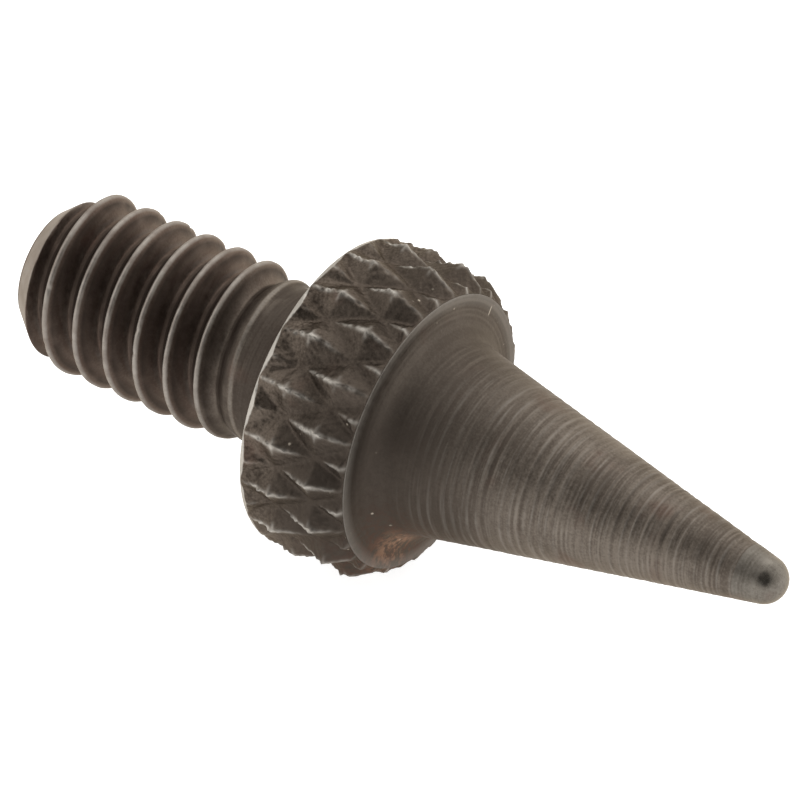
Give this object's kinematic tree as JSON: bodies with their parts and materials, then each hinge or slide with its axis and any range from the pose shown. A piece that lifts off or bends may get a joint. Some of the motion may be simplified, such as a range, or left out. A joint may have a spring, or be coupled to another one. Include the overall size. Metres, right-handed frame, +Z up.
{
  "type": "dial indicator contact point",
  "caption": "Tapered contact point: a threaded shank, a diamond-knurled seating ring, and a long turned cone that ends in a small hard ball nose.",
  "frame": {"origin": "centre of the knurled ring's rear face, the face that seats against the indicator spindle", "axes": "+X along the axis from the threaded shank to the nose, +Z up as the point lies on a table"},
  "size_m": [0.0126, 0.0048, 0.0048],
  "materials": {
    "body_steel": "dark brown-black oxide over fine turned rings, semi-matt",
    "collar_steel": "dark brown-black oxide, with the knurl's ridges worn to grey steel",
    "nose_steel": "polished hard steel, grey under a thin dark film"
  },
  "bodies": {
    "root": {"threaded_point_body": "body_steel", "knurled_collar": "collar_steel", "nose_insert": "nose_steel"}
  },
  "joints": []
}
